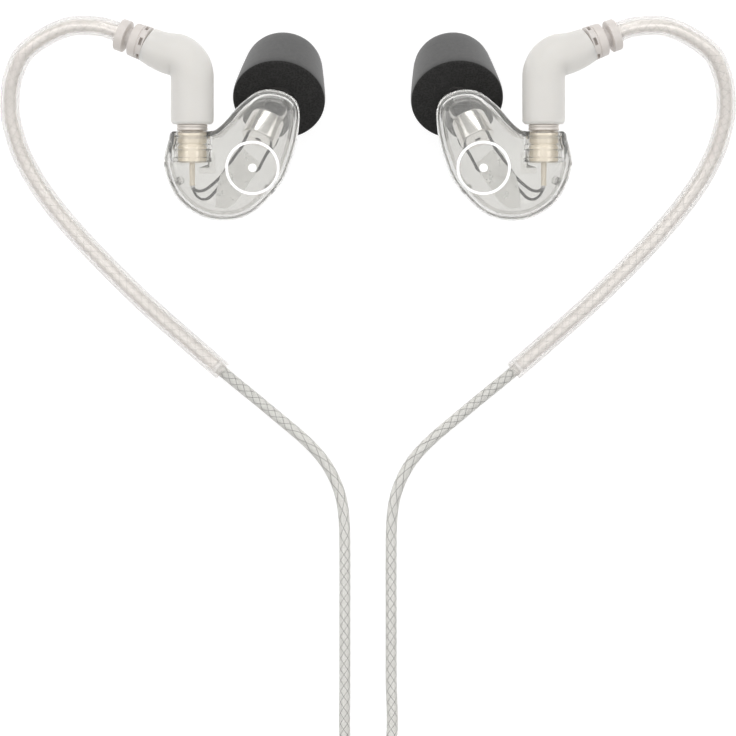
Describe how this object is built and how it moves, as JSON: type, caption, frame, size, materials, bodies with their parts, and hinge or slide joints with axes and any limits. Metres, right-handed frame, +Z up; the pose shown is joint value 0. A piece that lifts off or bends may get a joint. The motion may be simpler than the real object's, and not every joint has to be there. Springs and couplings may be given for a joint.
{
  "type": "in ear monitors",
  "caption": "Wired in-ear monitors: clear moulded earpieces with foam tips on swivelling snap connectors, over-ear hooks, Y cable with slider and jack plug.",
  "frame": {"origin": "centre of the footprint of the two earpieces and their ear hooks, on the table that they lie on (free cable and what is on it left out)", "axes": "+X across the pair, the longest extent, towards the right-hand earpiece as laid; +Y from the cable up towards the hooks; +Z up, away from the table, the shortest extent"},
  "size_m": [0.1384, 0.1604, 0.0221],
  "materials": {
    "clear_shell": "clear gloss",
    "steel": "polished",
    "magnet": "plated",
    "copper": "enamelled winding",
    "film": "thin film",
    "gold": "pale gold plate",
    "wire_enamel": "enamel",
    "spring_steel": "satin",
    "frosted_plastic": "frosted translucent",
    "beige_plastic": "satin",
    "hook_tube": "clear tube over a pearly core",
    "cord_jacket": "clear jacket over silver strands",
    "foam": "slow-recovery foam",
    "core_rubber": "matt",
    "dark_rubber": "matt",
    "plug_metal": "satin turned",
    "black_plastic": "moulded"
  },
  "bodies": {
    "cable_set": {"mmcx_plug_left": "gold", "mmcx_pin_left": "gold", "elbow_housing_left": "frosted_plastic", "strain_relief_left": "beige_plastic", "ear_hook_tube_left": "hook_tube", "hook_core_left": "cord_jacket", "mmcx_plug_right": "gold", "mmcx_pin_right": "gold", "elbow_housing_right": "frosted_plastic", "strain_relief_right": "beige_plastic", "ear_hook_tube_right": "hook_tube", "hook_core_right": "cord_jacket", "cable_left": "cord_jacket", "cable_right": "cord_jacket", "cord_coil": "cord_jacket", "cable_pair_outer": "cord_jacket", "cable_pair_inner": "cord_jacket", "y_splitter": "frosted_plastic", "cable_main": "cord_jacket", "cable_plug_lead": "cord_jacket", "jack_relief": "dark_rubber", "jack_housing": "plug_metal", "jack_insulator": "black_plastic", "jack_sleeve": "gold", "jack_ring": "gold", "jack_tip": "gold", "cable_tie": "dark_rubber"},
    "swivel_left": {"snap_ring_left": "spring_steel"},
    "earpiece_left": {"outer_shell_left": "clear_shell", "inner_shell_left": "clear_shell", "nozzle_mesh_left": "steel", "driver_can_left": "steel", "driver_magnet_left": "magnet", "voice_coil_left": "copper", "driver_diaphragm_left": "film", "driver_holder_left": "clear_shell", "mmcx_socket_left": "gold", "mmcx_contact_left": "gold", "wire_a_left": "wire_enamel", "wire_b_left": "wire_enamel"},
    "ear_tip_left": {"foam_tip_left": "foam", "tip_core_left": "core_rubber"},
    "swivel_right": {"snap_ring_right": "spring_steel"},
    "earpiece_right": {"outer_shell_right": "clear_shell", "inner_shell_right": "clear_shell", "nozzle_mesh_right": "steel", "driver_can_right": "steel", "driver_magnet_right": "magnet", "voice_coil_right": "copper", "driver_diaphragm_right": "film", "driver_holder_right": "clear_shell", "mmcx_socket_right": "gold", "mmcx_contact_right": "gold", "wire_a_right": "wire_enamel", "wire_b_right": "wire_enamel"},
    "ear_tip_right": {"foam_tip_right": "foam", "tip_core_right": "core_rubber"},
    "slider": {"chin_slider": "frosted_plastic"}
  },
  "joints": [
    {"name": "connector_swivel_left", "type": "hinge", "parent": "cable_set", "child": "swivel_left", "pos_m": [-0.02636, 0.0082, 0.0175], "axis": [0, -1, 0], "range_deg": [-90, 150]},
    {"name": "connector_unplug_left", "type": "slide", "parent": "swivel_left", "child": "earpiece_left", "axis": [0, -1, 0], "range_m": [0, 0.006]},
    {"name": "tip_pull_left", "type": "slide", "parent": "earpiece_left", "child": "ear_tip_left", "axis": [0.08, 0.5598, -0.8247], "range_m": [0, 0.009]},
    {"name": "connector_swivel_right", "type": "hinge", "parent": "cable_set", "child": "swivel_right", "pos_m": [0.02636, 0.0082, 0.0175], "axis": [0, 1, 0], "range_deg": [-90, 150]},
    {"name": "connector_unplug_right", "type": "slide", "parent": "swivel_right", "child": "earpiece_right", "axis": [0, -1, 0], "range_m": [0, 0.006]},
    {"name": "tip_pull_right", "type": "slide", "parent": "earpiece_right", "child": "ear_tip_right", "axis": [-0.08, 0.5598, -0.8247], "range_m": [0, 0.009]},
    {"name": "chin_slide", "type": "slide", "parent": "cable_set", "child": "slider", "axis": [1, 0, 0], "range_m": [0, 0.0085]}
  ]
}
